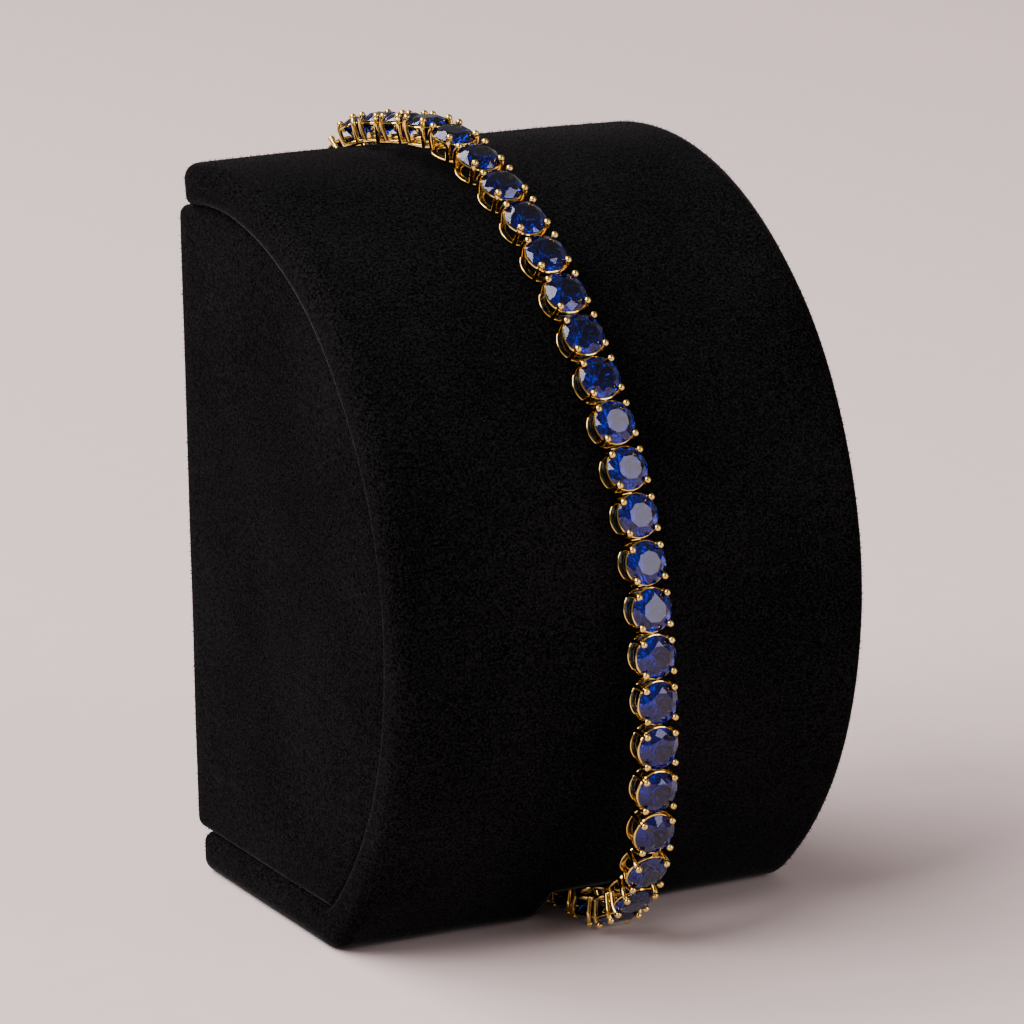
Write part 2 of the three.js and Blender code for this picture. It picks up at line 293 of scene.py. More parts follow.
def polished_gold():
    """Yellow gold with a slightly uneven tone, polish and surface."""
    made, shader, tree, add = material("polished_gold")
    shader.inputs["Metallic"].default_value = 1.0
    shader.inputs["Specular Tint"].default_value = (1.0, 0.9, 0.7, 1.0)
    where = add("ShaderNodeTexCoord", wanted="Object")
    tone = add("ShaderNodeTexNoise", {"Vector": where, "Scale": 500.0, "Detail": 3.0})
    colour = add("ShaderNodeValToRGB", {"Fac": tone})
    ramp = colour.node.color_ramp
    ramp.elements[0].position, ramp.elements[0].color = 0.35, (0.74, 0.47, 0.09, 1.0)
    ramp.elements[1].position, ramp.elements[1].color = 0.65, (0.92, 0.66, 0.20, 1.0)
    tree.links.new(colour, shader.inputs["Base Color"])
    polish = add("ShaderNodeMapRange", {"Value": tone, "To Min": 0.05, "To Max": 0.14})
    tree.links.new(polish, shader.inputs["Roughness"])
    ripple = add("ShaderNodeTexNoise", {"Vector": where, "Scale": 2600.0, "Detail": 2.0})
    bump = add("ShaderNodeBump", {"Strength": 0.12, "Distance": 0.02 * MM, "Height": ripple})
    tree.links.new(bump, shader.inputs["Normal"])
    return made


gold = polished_gold()

# %% [markdown]
# ## One basket, 48 times
# Each stone sits in a basket: a flat gallery rail at the bottom, a thin rim just under the stone's
# girdle, and four wire claws that rise from the rail, lean out past the girdle and end in a ball over
# the crown. A barrel hinge joins it to the next. Rails and claws are thin profiles swept along curves,
# which keeps the faces few. A claw is bent over four points: its foot in the rail, a shin, a belly that
# leans out past the girdle, and its tip. Reach and rise say how far out and how high the middle two lie.
# The basket is made once in the recipe and copied to every link.

# %% Sizes of the basket
BASKET_SIZES = {
    "Hinge height": 0.45 * MM,
    "Rail radius": 1.43 * MM,
    "Rail width": 0.52 * MM,
    "Rail height": 0.34 * MM,
    "Rail rounding": 0.07 * MM,
    "Rim radius": 1.705 * MM,
    "Rim wire": 0.095 * MM,
    "Rim level": 1.70 * MM,
    "Claw wire": 0.205 * MM,
    "Claw foot": 1.52 * MM,
    "Claw belly": 2.10 * MM,
    "Claw tip": 1.73 * MM,
    "Ball radius": 0.30 * MM,
    "Ball level": 2.25 * MM,
    "Barrel radius": 0.30 * MM,
    "Barrel length": 0.8 * MM,
    "Barrel shift": -LINK_PITCH / 2,
}
RAIL_STEPS = 40
RIM_STEPS = 40
RIM_SIDES = 8
CLAW_STEPS = 9
CLAW_SIDES = 10
CLAW_ROOT = 0.1 * MM
SHIN_REACH = 0.55
SHIN_RISE = 0.42
BELLY_RISE = 0.78
BALL_SIDES = 16
BARREL_SIDES = 14
GOLD_EDGE = 38


# %% The basket's recipe
def swept(recipe, path, profile, capped=False):
    """A profile carried along a path."""
    return recipe.add("GeometryNodeCurveToMesh", i0=path, i1=profile, i3=capped)


def ring_path(recipe, radius, level, steps):
    """A circle at a height, to carry a profile round."""
    ring = recipe.add("GeometryNodeCurvePrimitiveCircle", i0=steps, i4=radius)
    return recipe.add("GeometryNodeTransform", i0=ring, i1=recipe.vector(z=level))


def wire_profile(recipe, radius, sides):
    """The round section of a wire."""
    return recipe.add("GeometryNodeCurvePrimitiveCircle", i0=sides, i4=radius)


def rail(recipe):
    """The flat gallery rail, a rounded rectangle carried round a circle."""
    level = recipe.math("MULTIPLY", recipe.size("Rail height"), 0.5)
    path = ring_path(recipe, recipe.size("Rail radius"), level, RAIL_STEPS)
    flat = recipe.add(
        "GeometryNodeCurvePrimitiveQuadrilateral",
        i0=recipe.size("Rail width"), i1=recipe.size("Rail height"),
    )
    rounded = recipe.add(
        "GeometryNodeFilletCurve", setup={"mode": "POLY"}, i0=flat, i1=3, i2=recipe.size("Rail rounding")
    )
    return swept(recipe, path, rounded)


def rim(recipe):
    """The thin wire just under the girdle."""
    path = ring_path(recipe, recipe.size("Rim radius"), recipe.size("Rim level"), RIM_STEPS)
    return swept(recipe, path, wire_profile(recipe, recipe.size("Rim wire"), RIM_SIDES))


def claw(recipe):
    """One claw along +X: a bent wire with a ball at its tip."""
    level = recipe.size("Ball level")
    reach = recipe.math("ADD", recipe.size("Claw foot"), recipe.size("Claw tip"))
    foot = recipe.vector(x=recipe.size("Claw foot"), z=CLAW_ROOT)
    shin = recipe.vector(
        x=recipe.math("MULTIPLY", reach, SHIN_REACH), z=recipe.math("MULTIPLY", level, SHIN_RISE)
    )
    belly = recipe.vector(x=recipe.size("Claw belly"), z=recipe.math("MULTIPLY", level, BELLY_RISE))
    tip = recipe.vector(x=recipe.size("Claw tip"), z=level)
    path = recipe.add(
        "GeometryNodeCurvePrimitiveBezierSegment",
        setup={"mode": "POSITION"}, i0=CLAW_STEPS, i1=foot, i2=shin, i3=belly, i4=tip,
    )
    wire = swept(recipe, path, wire_profile(recipe, recipe.size("Claw wire"), CLAW_SIDES), capped=True)
    ball = recipe.add(
        "GeometryNodeMeshUVSphere", i0=BALL_SIDES, i1=BALL_SIDES // 2, i2=recipe.size("Ball radius")
    )
    placed = recipe.add("GeometryNodeTransform", i0=ball, i1=tip)
    return recipe.add("GeometryNodeJoinGeometry", i0=[placed, wire])


def four_claws(recipe):
    """The claw at the four corners of the basket, between the directions along and across the row."""
    corners = recipe.add("GeometryNodeMeshLine", i0=4, i3=(0.0, 0.0, 0.0))
    index = recipe.add("GeometryNodeInputIndex")
    quarter = recipe.math("MULTIPLY", recipe.math("ADD", index, 0.5), math.pi / 2)
    return recipe.add(
        "GeometryNodeInstanceOnPoints", i0=corners, i2=claw(recipe), i5=recipe.vector(z=quarter)
    )


def barrel(recipe):
    """The hinge barrel that lies across the row, between this basket and the one before."""
    tube = recipe.add(
        "GeometryNodeMeshCylinder",
        i0=BARREL_SIDES, i3=recipe.size("Barrel radius"), i4=recipe.size("Barrel length"),
    )
    place = recipe.vector(x=recipe.size("Barrel shift"), z=recipe.size("Hinge height"))
    return recipe.add("GeometryNodeTransform", i0=tube, i1=place, i2=(math.pi / 2, 0.0, 0.0))


def basket_recipe():
    """The whole basket, lowered so that its hinge lies on the link's point, on every link."""
    recipe = Recipe("gold_baskets", BASKET_SIZES)
    parts = [rail(recipe), rim(recipe), four_claws(recipe), barrel(recipe)]
    basket = recipe.add("GeometryNodeJoinGeometry", i0=parts)
    below = recipe.math("MULTIPLY", recipe.size("Hinge height"), -1.0)
    lowered = recipe.add("GeometryNodeTransform", i0=basket, i1=recipe.vector(z=below))
    copies = recipe.add(
        "GeometryNodeInstanceOnPoints", i0=recipe.entry.outputs[0], i2=lowered, i5=turned_to_link(recipe)
    )
    recipe.serve(copies, gold)
    return recipe


# %% Copy the basket to both runs of links
baskets = basket_recipe()
for name, node, chosen in (
    ("baskets_front", "links_front", links[:FRONT_LINKS]),
    ("baskets_back", "links_back", links[FRONT_LINKS:]),
):
    run = baskets.cook(name, place_mesh(chosen), smooth_angle=GOLD_EDGE)
    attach(run, "root")
    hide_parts(node)

# %% [markdown]
# ## The stones
# A round brilliant has a flat table, a crown of star, kite and girdle facets, a thin girdle and a
# pavilion that ends in a point. Its sparkle comes from light that enters the crown, bounces between the
# pavilion's facets and leaves again, so the facets are modelled as real flat faces, and the material is
# clear with a high index of refraction. The pavilion steps down in rings whose corners lie in and out by
# turns, which breaks what it reflects into a fine mosaic. One stone is made corner by corner, and a
# recipe copies it.

# %% One cut stone
STONE_RADIUS = 1.725 * MM
TABLE_RADIUS = 0.57 * STONE_RADIUS
STAR_RADIUS = 0.79 * STONE_RADIUS
CROWN_HEIGHT = 0.52 * MM
STAR_HEIGHT = 0.33 * MM
GIRDLE_HALF = 0.02 * MM
PAVILION_DEPTH = 1.48 * MM
PAVILION_RINGS = ((0.78, 0.38 * MM), (0.54, 0.76 * MM), (0.30, 1.15 * MM))
PAVILION_STEP = 0.035
MAINS = 8


def ring(radius, height, count, offset=0.0):
    """Corners on a circle, with offset counted in steps of the circle."""
    turns = [2 * math.pi * (i + offset) / count for i in range(count)]
    return [Vector((radius * math.cos(a), radius * math.sin(a), height)) for a in turns]


def cut_stone():
    """A round brilliant with its girdle at height 0."""
    stone = bmesh.new()
    rings = {
        "table": ring(TABLE_RADIUS, CROWN_HEIGHT, MAINS, 0.5),
        "star": ring(STAR_RADIUS, STAR_HEIGHT, MAINS),
        "upper": ring(STONE_RADIUS, GIRDLE_HALF, 2 * MAINS),
        "lower": ring(STONE_RADIUS, -GIRDLE_HALF, 2 * MAINS),
    }
    corner = {label: [stone.verts.new(point) for point in points] for label, points in rings.items()}
    culet = stone.verts.new((0, 0, -PAVILION_DEPTH))
    table, star, upper, lower = (corner[label] for label in rings)
    stone.faces.new(table)
    for i in range(MAINS):
        step, edge = (i + 1) % MAINS, 2 * i
        middle, following = (edge + 1) % (2 * MAINS), (edge + 2) % (2 * MAINS)
        stone.faces.new((table[i - 1], star[i], table[i]))
        stone.faces.new((table[i], star[i], upper[middle], star[step]))
        stone.faces.new((star[i], upper[edge], upper[middle]))
        stone.faces.new((star[step], upper[middle], upper[following]))
    for i in range(2 * MAINS):
        after = (i + 1) % (2 * MAINS)
        stone.faces.new((upper[i], lower[i], lower[after], upper[after]))
    above = lower
    for level, (share, depth) in enumerate(PAVILION_RINGS):
        below = [
            stone.verts.new((*(point.xy * (share + PAVILION_STEP * (-1) ** i) * STONE_RADIUS), -depth))
            for i, point in enumerate(ring(1.0, 0.0, 2 * MAINS, (level + 1) / 2))
        ]
        for i in range(2 * MAINS):
            after = (i + 1) % (2 * MAINS)
            stone.faces.new((above[i], below[i], above[after]))
            stone.faces.new((below[i], below[after], above[after]))
        above = below
    for i in range(2 * MAINS):
        stone.faces.new((above[i], culet, above[(i + 1) % (2 * MAINS)]))
    bmesh.ops.recalc_face_normals(stone, faces=stone.faces)
    mesh = bpy.data.meshes.new("cut_stone")
    stone.to_mesh(mesh)
    stone.free()
    return mesh


# %% [markdown]
# ## Blue stone
# A clear material takes its colour from what light loses on its way through. Volume Absorption does that,
# so a long path inside the stone comes out deep blue and a short one bright. The surface is glass with
# sapphire's index of refraction, 1.77. A pale room would show in it as a strong grey veil, so a darker
# Specular Tint holds the mirror image back and lets the blue come through.

# %% Deep blue gem
def blue_gem():
    """Clear glass that turns deep blue along the light's way through it."""
    made, shader, tree, add = material("deep_blue_gem")
    shader.inputs["Base Color"].default_value = (0.42, 0.55, 0.88, 1.0)
    shader.inputs["Transmission Weight"].default_value = 1.0
    shader.inputs["IOR"].default_value = 1.77
    shader.inputs["Specular Tint"].default_value = (0.50, 0.48, 0.60, 1.0)
    where = add("ShaderNodeTexCoord", wanted="Object")
    wear = add("ShaderNodeTexNoise", {"Vector": where, "Scale": 900.0, "Detail": 2.0})
    polish = add("ShaderNodeMapRange", {"Value": wear, "To Min": 0.0, "To Max": 0.01})
    tree.links.new(polish, shader.inputs["Roughness"])
    loss = tree.nodes.new("ShaderNodeVolumeAbsorption")
    loss.inputs["Color"].default_value = (0.02, 0.27, 0.73, 1.0)
    loss.inputs["Density"].default_value = 1650.0
    tree.links.new(loss.outputs[0], tree.nodes["Material Output"].inputs["Volume"])
    return made


gem = blue_gem()

# %% Copy the stone to every link
STONE_TURN_SEED = 7


def stone_recipe(model):
    """Puts the stone on each link, with a turn of its own about its axis."""
    recipe = Recipe("cut_stones", {"Girdle above hinge": GIRDLE_ABOVE_HINGE})
    source = recipe.add("GeometryNodeObjectInfo", wanted="Geometry", i0=model)
    raised = recipe.add(
        "GeometryNodeTransform", i0=source, i1=recipe.vector(z=recipe.size("Girdle above hinge"))
    )
    copies = recipe.add(
        "GeometryNodeInstanceOnPoints", i0=recipe.entry.outputs[0], i2=raised, i5=turned_to_link(recipe)
    )
    turn = recipe.add(
        "FunctionNodeRandomValue", wanted=1, setup={"data_type": "FLOAT"},
        i2=0.0, i3=2 * math.pi, i8=STONE_TURN_SEED,
    )
    turned = recipe.add("GeometryNodeRotateInstances", i0=copies, i2=recipe.vector(z=turn))
    recipe.serve(turned, gem)
    return recipe


model = bpy.data.objects.new("stone_model", cut_stone())
bpy.context.scene.collection.objects.link(model)
stones = stone_recipe(model).cook("cut_stones", place_mesh(links))
bpy.data.objects.remove(model)
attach(stones, "root")
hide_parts(*stone_nodes)

# %% [markdown]
# ## The clasp
# The clasp hides at the back, a plain polished box. Its CAD solid already has the right shape, so it
# stays and only takes the gold.

# %% Clasp
clasp = frame["nodes"]["clasp"]
clasp.data.materials.clear()
clasp.data.materials.append(gold)

# %% [markdown]
# ## Black velvet
# Velvet is a pile of short upright fibres. Looked at from above, light falls between them and is lost,
# so it is almost black, and along an edge that is seen at a slant their tips catch the light. Sheen
# does that. Brushed patches lie a little differently, so a slow noise makes the cloth lighter or darker,
# and a fine one makes the grain of the tufts, in colour and as a bump.

# %% Velvet
def black_velvet():
    """Nearly black cloth with soft patches, a grain of tufts and a faint sheen."""
    made, shader, tree, add = material("black_velvet")
    where = add("ShaderNodeTexCoord", wanted="Object")
    patches = add("ShaderNodeTexNoise", {"Vector": where, "Scale": 60.0, "Detail": 2.0})
    share = add("ShaderNodeMapRange", {"Value": patches, "To Min": 0.75, "To Max": 1.15})
    tufts = add("ShaderNodeTexNoise", {"Vector": where, "Scale": 5000.0, "Detail": 3.0, "Roughness": 0.7})
    lit = add("ShaderNodeMath", {0: tufts, 1: share}, operation="MULTIPLY")
    colour = add("ShaderNodeValToRGB", {"Fac": lit})
    ramp = colour.node.color_ramp
    ramp.elements[0].position, ramp.elements[0].color = 0.38, (0.0005, 0.0005, 0.0006, 1.0)
    ramp.elements[1].position, ramp.elements[1].color = 0.66, (0.0105, 0.010, 0.011, 1.0)
    tree.links.new(colour, shader.inputs["Base Color"])
    shader.inputs["Roughness"].default_value = 1.0
    shader.inputs["Specular IOR Level"].default_value = 0.0
    shader.inputs["Sheen Weight"].default_value = 0.09
    shader.inputs["Sheen Roughness"].default_value = 0.25
    shader.inputs["Sheen Tint"].default_value = (0.9, 0.85, 0.9, 1.0)
    bump = add("ShaderNodeBump", {"Strength": 0.6, "Distance": 0.06 * MM, "Height": tufts})
    tree.links.new(bump, shader.inputs["Normal"])
    return made


velvet = black_velvet()

# %% [markdown]
# ## The padded wrap
# The stand's curved front is a board with thin padding under the velvet. It is a band of rounded
# section, carried along the arc from the top back edge over the front and then flat under the block.
# A mesh of rows and columns is the easiest to soften: every row is the same rounded section, which
# swells a little in the middle and rounds off at the two ends. The padding and the cloth lie a little
# outside the CAD solid, as they do on the real board.

# %% Sizes of the stand
BACK_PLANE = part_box("stand_block")[1].y
WRAP_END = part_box("stand_wrap")[1].y
SIDE_PADDING = 0.2 * MM
STAND_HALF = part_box("stand_wrap")[1].x + SIDE_PADDING
ARC_RADIUS = 33.4 * MM
ARC_BEFORE_BACK = 7.5 * MM
ARC_HEIGHT = 26.9 * MM
ARC_CENTRE = Vector((BACK_PLANE - ARC_BEFORE_BACK, ARC_HEIGHT))
WRAP_THICKNESS = 3.25 * MM
BLOCK_GAP = 0.05 * MM
print("stand: back at", round(BACK_PLANE / MM, 2), "mm, half width", round(STAND_HALF / MM, 2), "mm")


# %% Lines seen from the side
def on_arc(angle, radius):
    """A point of the arc, as depth and height. The angle grows from straight up towards the front."""
    return ARC_CENTRE + radius * Vector((-math.sin(angle), math.cos(angle)))


def arc_line(radius, start, end, step=math.radians(1.0)):
    """Points along the stand's arc between two angles."""
    count = max(2, round(abs(end - start) / step))
    return [on_arc(start + (end - start) * i / count, radius) for i in range(count + 1)]


def rounded_bend(points, bend, radius, steps=10):
    """A line of points with one corner replaced by an arc."""
    corner, before, after = points[bend], points[bend - 1], points[(bend + 1) % len(points)]
    to_before, to_after = (before - corner).normalized(), (after - corner).normalized()
    half = to_before.angle(to_after) / 2
    reach = radius / math.tan(half)
    middle = corner + (to_before + to_after).normalized() * radius / math.sin(half)
    start, end = corner + to_before * reach - middle, corner + to_after * reach - middle
    arc = [middle + start.slerp(end, i / steps) * radius for i in range(steps + 1)]
    kept_before = [p for p in points[:bend] if (p - corner).length > reach]
    kept_after = [p for p in points[bend + 1:] if (p - corner).length > reach]
    return kept_before + arc + kept_after


def even_steps(points, step, closed=False):
    """The same line with its points about one step apart."""
    line = np.array([list(point) for point in points + points[:1] * closed])
    run = np.concatenate([[0.0], np.cumsum(np.linalg.norm(np.diff(line, axis=0), axis=1))])
    count = max(2, round(run[-1] / step))
    at = np.linspace(0.0, run[-1], count + 1)
    spaced = np.stack([np.interp(at, run, line[:, axis]) for axis in range(line.shape[1])], axis=1)
    return spaced[:-1] if closed else spaced


# %% Rows of points into a closed mesh
def rows_to_mesh(name, rows):
    """Joins closed rows of equal count, one after the other, and closes both ends with a fan."""
    count, total = len(rows[0]), len(rows)
    ends = [np.mean(rows[0], axis=0), np.mean(rows[-1], axis=0)]
    corners = [corner for row in rows for corner in row] + ends
    faces = []
    for r in range(total - 1):
        for c in range(count):
            after = (c + 1) % count
            faces.append((r * count + c, r * count + after, (r + 1) * count + after, (r + 1) * count + c))
    for c in range(count):
        after = (c + 1) % count
        faces.append((total * count, after, c))
        faces.append((total * count + 1, (total - 1) * count + c, (total - 1) * count + after))
    mesh = bpy.data.meshes.new(name)
    mesh.from_pydata([tuple(corner) for corner in corners], [], faces)
    solid = bmesh.new()
    solid.from_mesh(mesh)
    bmesh.ops.recalc_face_normals(solid, faces=solid.faces)
    solid.to_mesh(mesh)
    solid.free()
    return mesh


# %% Wrap
ROW_STEP = 0.8 * MM
SECTION_STEP = 0.35 * MM
WRAP_RIM = 1.2 * MM
WRAP_INNER_RIM = 0.6 * MM
WRAP_SWELL = 0.15 * MM
WRAP_END_ROUND = 0.8 * MM
END_ROWS = 6
FOOT_ROUND = 3.0 * MM


def wrap_path():
    """The middle line of the band, as depth and height: over the front, round the foot and back."""
    radius = ARC_RADIUS - WRAP_THICKNESS / 2
    top = -math.asin((WRAP_END - ARC_CENTRE.x) / radius)
    foot = math.pi - math.acos((ARC_CENTRE.y - WRAP_THICKNESS / 2) / radius)
    arc = arc_line(radius, top, foot)
    line = arc + [Vector((WRAP_END, WRAP_THICKNESS / 2))]
    return even_steps(rounded_bend(line, len(arc) - 1, FOOT_ROUND), ROW_STEP)


def wrap_section(half, thickness):
    """A rounded rectangle that swells a little outwards: place across the stand, height over the path."""
    inner, outer = -thickness / 2, thickness / 2
    right = [(0, inner), (half, inner), (half, outer)]
    left = [(0, outer), (-half, outer), (-half, inner)]
    corners = [Vector(corner) for corner in right + left]
    for bend, radius in ((5, WRAP_INNER_RIM), (4, WRAP_RIM), (2, WRAP_RIM), (1, WRAP_INNER_RIM)):
        corners = rounded_bend(corners, bend, radius, steps=6)
    row = even_steps(corners, SECTION_STEP, closed=True)
    row[:, 1] += WRAP_SWELL * (1 - (row[:, 0] / half) ** 2) * (row[:, 1] > 0)
    return row


def wrap_rows():
    """The section at each station of the path, drawn in near the two ends."""
    path = wrap_path()
    run = np.arange(len(path)) * np.linalg.norm(path[1] - path[0])
    near_end = WRAP_END_ROUND * (1 - np.cos(np.linspace(0.0, math.pi / 2, END_ROWS)))
    stations = np.concatenate([near_end, run[2:-2], run[-1] - near_end[::-1]])
    slopes = np.gradient(path, axis=0)
    slopes /= np.linalg.norm(slopes, axis=1)[:, None]
    section = wrap_section(STAND_HALF, WRAP_THICKNESS)
    rows = []
    for at in stations:
        place, slope = (
            np.array([np.interp(at, run, line[:, k]) for k in range(2)]) for line in (path, slopes)
        )
        short = max(0.0, 1 - min(at, run[-1] - at) / WRAP_END_ROUND)
        drop = WRAP_END_ROUND * (1 - math.sqrt(1 - short * short))
        across = section[:, 0] * (1 - drop / STAND_HALF)
        over = section[:, 1] * np.where(section[:, 1] > 0, 1 - 2 * drop / WRAP_THICKNESS, 1.0)
        outwards = np.array([slope[1], -slope[0]])
        rows.append(np.column_stack([across, place + over[:, None] * outwards]))
    return rows


wrap = finished("padded_wrap", rows_to_mesh("padded_wrap", wrap_rows()), smooth_angle=180)

# %% [markdown]
# The bracelet passes under the stand through a channel, so that the stand sits flat. A boolean cuts the
# channel after the band is shaped, which leaves the rows above simple.

# %% Channel under the stand
CHANNEL_HALF = 3.5 * MM
CHANNEL_MIDDLE = 0.5 * MM


def box_piece(name, low, high):
    """A plain box between two corners, used only to cut with."""
    solid = bmesh.new()
    bmesh.ops.create_cube(solid, size=1.0)
    for vertex in solid.verts:
        vertex.co = Vector(low[k] if vertex.co[k] < 0 else high[k] for k in range(3))
    mesh = bpy.data.meshes.new(name)
    solid.to_mesh(mesh)
    solid.free()
    piece = bpy.data.objects.new(name, mesh)
    bpy.context.scene.collection.objects.link(piece)
    return piece


def cut_away(piece, cutter):
    """Cuts one piece out of another, keeps what is left as a plain mesh and removes the cutter."""
    modifier = piece.modifiers.new("cut", "BOOLEAN")
    modifier.object = cutter
    modifier.operation = "DIFFERENCE"
    modifier.solver = "EXACT"
    bpy.context.view_layer.update()
    left = bpy.data.meshes.new_from_object(piece.evaluated_get(bpy.context.evaluated_depsgraph_get()))
    piece.modifiers.clear()
    piece.data = left
    bpy.data.objects.remove(cutter)


channel = box_piece(
    "channel_cutter",
    (CHANNEL_MIDDLE - CHANNEL_HALF, -2 * ARC_RADIUS, -WRAP_THICKNESS),
    (CHANNEL_MIDDLE + CHANNEL_HALF, 2 * ARC_RADIUS, WRAP_THICKNESS + 2 * BLOCK_GAP),
)
cut_away(wrap, channel)

# %% [markdown]
# ## The pile of the velvet
# Velvet is woven with an extra thread that stands up in loops, and the loops are cut, which leaves a lawn
# of short fibres. Against the light they give the cloth a soft, slightly fuzzy outline. A bump cannot
# change an outline, so the fibres are real: small three-sided points, scattered over the faces that show
# and each tilted and scaled by chance. Faces on the floor or inside the stand stay bare. Under the pile
# lies a slow wave, because cloth over padding is never as even as a turned part.

# %% Sizes of the pile
WAVE_HEIGHT = 0.05 * MM
WAVE_SPACING = 9.0 * MM
PILE_DEPTH = 0.04 * MM
PILE_SIZES = {
    "Fibre length": 0.28 * MM,
    "Fibre radius": 0.035 * MM,
    "Fibre tilt": 0.7,
    "Fibres per square metre": 5.6e6,
}
FIBRE_SIDES = 3
SHORTEST_FIBRE = 0.5
PILE_SEED = 3
PILE_FLOOR = 0.9 * MM
PILE_FROM = ARC_RADIUS - WRAP_THICKNESS
SIDE_BAND = 2.5 * MM
STAND_MIDDLE = Vector((0.0, ARC_CENTRE.x, ARC_CENTRE.y))


# %% The wave and the marks
def uneven(mesh):
    """Lifts each corner along its normal by the pile's depth and a slow noise, never below the floor."""
    places, normals = (np.empty(3 * len(mesh.vertices)) for _ in range(2))
    mesh.vertices.foreach_get("co", places)
    mesh.vertex_normals.foreach_get("vector", normals)
    places = places.reshape(-1, 3)
    waves = np.array([WAVE_HEIGHT * noise.noise(Vector(place) / WAVE_SPACING) for place in places])
    places += (waves + PILE_DEPTH)[:, None] * normals.reshape(-1, 3)
    places[:, 2] = np.maximum(places[:, 2], 0.0)
    mesh.vertices.foreach_set("co", places.ravel())
    mesh.update()


def mark_pile(mesh):
    """Marks the faces that carry pile: on the outside and near the two sides, but off the floor."""
    marks = []
    for polygon in mesh.polygons:
        away = polygon.center - STAND_MIDDLE
        outside = polygon.normal.dot(away) > 0 and away.yz.length > PILE_FROM
        at_side = abs(polygon.center.x) > STAND_HALF - SIDE_BAND
        marks.append(polygon.center.z > PILE_FLOOR and (outside or at_side))
    mesh.attributes.new("pile", "BOOLEAN", "FACE").data.foreach_set("value", marks)


# %% The pile's recipe
def pile_recipe():
    """Stands short pointed fibres on the marked faces, each tilted and scaled a little by chance."""
    recipe = Recipe("velvet_pile", PILE_SIZES)
    body = recipe.entry.outputs[0]
    marked = recipe.add("GeometryNodeInputNamedAttribute", setup={"data_type": "BOOLEAN"}, i0="pile")
    scatter = recipe.add(
        "GeometryNodeDistributePointsOnFaces",
        i0=body, i1=marked, i4=recipe.size("Fibres per square metre"), i6=PILE_SEED,
    )
    fibre = recipe.add(
        "GeometryNodeMeshCone",
        i0=FIBRE_SIDES, i3=0.0, i4=recipe.size("Fibre radius"), i5=recipe.size("Fibre length"),
    )
    scale = recipe.add(
        "FunctionNodeRandomValue", wanted=1, setup={"data_type": "FLOAT"},
        i2=SHORTEST_FIBRE, i3=1.0, i8=PILE_SEED,
    )
    copies = recipe.add(
        "GeometryNodeInstanceOnPoints", i0=scatter, i2=fibre, i5=scatter.node.outputs["Rotation"], i6=scale
    )
    tilt = recipe.size("Fibre tilt")
    limit = recipe.vector(x=tilt, y=tilt, z=math.pi)
    lowest = recipe.add("ShaderNodeVectorMath", setup={"operation": "SCALE"}, i0=limit, i3=-1.0)
    turn = recipe.add(
        "FunctionNodeRandomValue", setup={"data_type": "FLOAT_VECTOR"}, i0=lowest, i1=limit, i8=PILE_SEED
    )
    leaning = recipe.add("GeometryNodeRotateInstances", i0=copies, i2=turn)
    recipe.serve(recipe.add("GeometryNodeJoinGeometry", i0=[leaning, body]), velvet)
    return recipe


pile = pile_recipe()


# %% Cover the wrap
def velvet_cover(piece):
    """Makes a stand piece a little uneven, stands the pile on it and puts it on the part."""
    name, mesh = piece.name, piece.data
    uneven(mesh)
    mark_pile(mesh)
    bpy.data.objects.remove(piece)
    covered = pile.cook(name, mesh, smooth_angle=180)
    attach(covered, "root")
    return covered


wrap = velvet_cover(wrap)
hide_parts("stand_wrap")

# %% [markdown]
# ## The block
# The block fills the wrap. Its outline is the same arc, a little smaller, closed by the flat back. Every
# row of the mesh is that outline: drawn in at the rounded rims, and then towards the middle on the two end
# panels, which are card under velvet and bulge slightly. The velvet and its pile are those of the wrap.

# %% Block
BLOCK_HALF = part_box("stand_block")[1].x + SIDE_PADDING
BLOCK_RIM = 0.65 * MM
BLOCK_TOP_ROUND = 0.85 * MM
BLOCK_FOOT_ROUND = 0.9 * MM
BLOCK_NOSE_ROUND = 1.6 * MM
PANEL_BULGE = 0.12 * MM
OUTLINE_STEP = 0.45 * MM
ACROSS_STEP = 2.0 * MM
RIM_ROWS = 6
PANEL_ROWS = 12


def block_outline():
    """The D shape of the block, as depth and height."""
    radius = ARC_RADIUS - WRAP_THICKNESS - BLOCK_GAP
    floor = WRAP_THICKNESS + BLOCK_GAP
    top = -math.asin((BACK_PLANE - ARC_CENTRE.x) / radius)
    foot = math.pi - math.acos((ARC_CENTRE.y - floor) / radius)
    arc = arc_line(radius, top, foot)
    line = arc + [Vector((BACK_PLANE, floor))]
    line = rounded_bend(line, len(line) - 1, BLOCK_FOOT_ROUND)
    line = rounded_bend(line, len(arc) - 1, BLOCK_NOSE_ROUND)
    line = rounded_bend(line[-1:] + line[:-1], 1, BLOCK_TOP_ROUND)
    return even_steps(line, OUTLINE_STEP, closed=True)


def drawn_in(outline, inset):
    """The outline moved inwards by an inset, which stays below the radius of every corner."""
    slopes = np.roll(outline, -1, axis=0) - np.roll(outline, 1, axis=0)
    slopes /= np.linalg.norm(slopes, axis=1)[:, None]
    inwards = np.column_stack([-slopes[:, 1], slopes[:, 0]])
    middle = outline.mean(axis=0)
    if np.sum((middle - outline[0]) * inwards[0]) < 0:
        inwards = -inwards
    return outline + inwards * inset


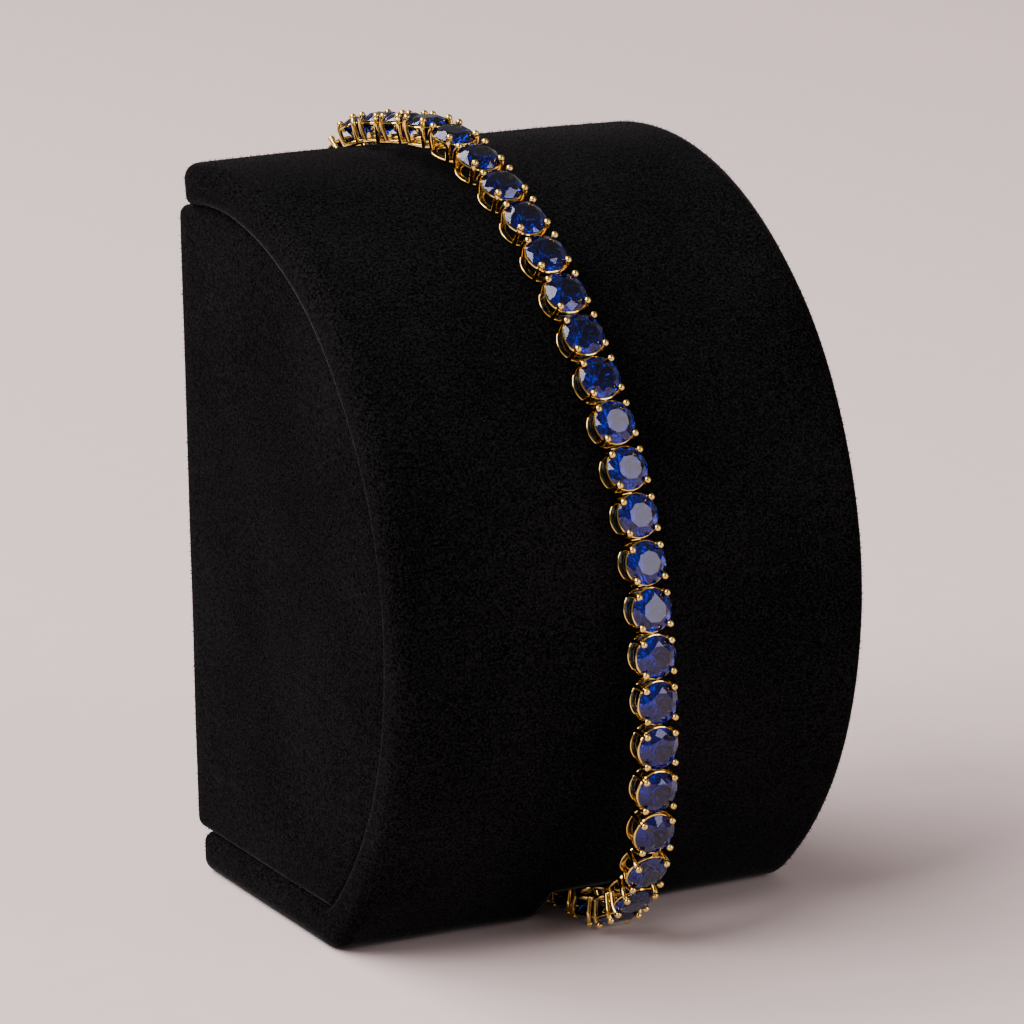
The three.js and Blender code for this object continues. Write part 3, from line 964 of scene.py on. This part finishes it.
def block_rows():
    """Rows from the middle of the left panel, over the block, to the middle of the right panel."""
    outline = block_outline()
    right = []
    for angle in [math.pi / 2 * k / RIM_ROWS for k in range(RIM_ROWS + 1)]:
        row = drawn_in(outline, BLOCK_RIM * (1 - math.cos(angle)))
        right.append((BLOCK_HALF - BLOCK_RIM * (1 - math.sin(angle)), row))
    panel_edge = drawn_in(outline, BLOCK_RIM)
    middle = panel_edge.mean(axis=0)
    for share in [1 - k / PANEL_ROWS for k in range(1, PANEL_ROWS)]:
        bulge = PANEL_BULGE * (1 - share ** 4)
        right.append((BLOCK_HALF + bulge, middle + (panel_edge - middle) * share))
    left = [(-x, row) for x, row in reversed(right)]
    spans = max(2, round((BLOCK_HALF - BLOCK_RIM) * 2 / ACROSS_STEP))
    between = [((2 * i / spans - 1) * (BLOCK_HALF - BLOCK_RIM), outline) for i in range(1, spans)]
    return [np.column_stack([np.full(len(row), x), row]) for x, row in left + between + right]


block = finished("stand_body", rows_to_mesh("stand_body", block_rows()), smooth_angle=180)
block = velvet_cover(block)
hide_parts("stand_block")

# %% [markdown]
# ## Floor and light
# The floor is plain and pale, and large enough to fill the picture. The light is soft: one panel in front
# to the right, which the stones' tables mirror as a grey patch, one high on the left that brightens the
# claws and the edge of the velvet, one high behind the stand that draws its top edges, and a pale room
# that fills the shadows. A panel's power grows with its area, so that each is set by how bright it looks.

# %% Floor
def pale_floor():
    """A pale matt surface with a faint grain."""
    made, shader, tree, add = material("pale_floor")
    where = add("ShaderNodeTexCoord", wanted="Object")
    grain = add("ShaderNodeTexNoise", {"Vector": where, "Scale": 300.0, "Detail": 3.0})
    colour = add("ShaderNodeValToRGB", {"Fac": grain})
    ramp = colour.node.color_ramp
    ramp.elements[0].color = (0.70, 0.56, 0.55, 1.0)
    ramp.elements[1].color = (0.74, 0.60, 0.59, 1.0)
    tree.links.new(colour, shader.inputs["Base Color"])
    shader.inputs["Roughness"].default_value = 0.8
    return made


FLOOR_HALF = 3.0
floor_corners = [(s * FLOOR_HALF, u * FLOOR_HALF, 0) for s, u in ((-1, -1), (1, -1), (1, 1), (-1, 1))]
floor_mesh = bpy.data.meshes.new("floor")
floor_mesh.from_pydata(floor_corners, [], [(0, 1, 2, 3)])
floor_mesh.materials.append(pale_floor())
floor = bpy.data.objects.new("floor", floor_mesh)
bpy.context.scene.collection.objects.link(floor)


# %% Lights
def soft_panel(name, azimuth, elevation, distance, width, height, radiance, colour):
    """A rectangular lamp that faces the bracelet and looks equally bright from everywhere."""
    lamp = bpy.data.lights.new(name, "AREA")
    lamp.shape = "RECTANGLE"
    lamp.size, lamp.size_y = width, height
    lamp.energy = radiance * math.pi * width * height
    lamp.color = colour
    away = direction(math.radians(azimuth), math.radians(elevation))
    panel = bpy.data.objects.new(name, lamp)
    panel.matrix_world = aimed(CAMERA_TARGET + away * distance, away)
    bpy.context.scene.collection.objects.link(panel)


soft_panel(
    "front_right_panel", azimuth=30, elevation=18, distance=1.0,
    width=0.40, height=0.70, radiance=4.6, colour=(1.0, 0.95, 0.97),
)
soft_panel(
    "high_left_panel", azimuth=-85, elevation=45, distance=1.2,
    width=0.8, height=0.8, radiance=11.0, colour=(1.0, 0.97, 0.95),
)
soft_panel(
    "back_panel", azimuth=-145, elevation=50, distance=1.4,
    width=0.9, height=0.7, radiance=11.0, colour=(1.0, 0.95, 0.94),
)

room = bpy.data.worlds.new("pale_room")
room.use_nodes = True
glow = room.node_tree.nodes["Background"]
glow.inputs["Color"].default_value = (0.80, 0.74, 0.73, 1.0)
glow.inputs["Strength"].default_value = 0.33
bpy.context.scene.world = room
print("lights:", len(bpy.data.lights), "panels and a pale room")
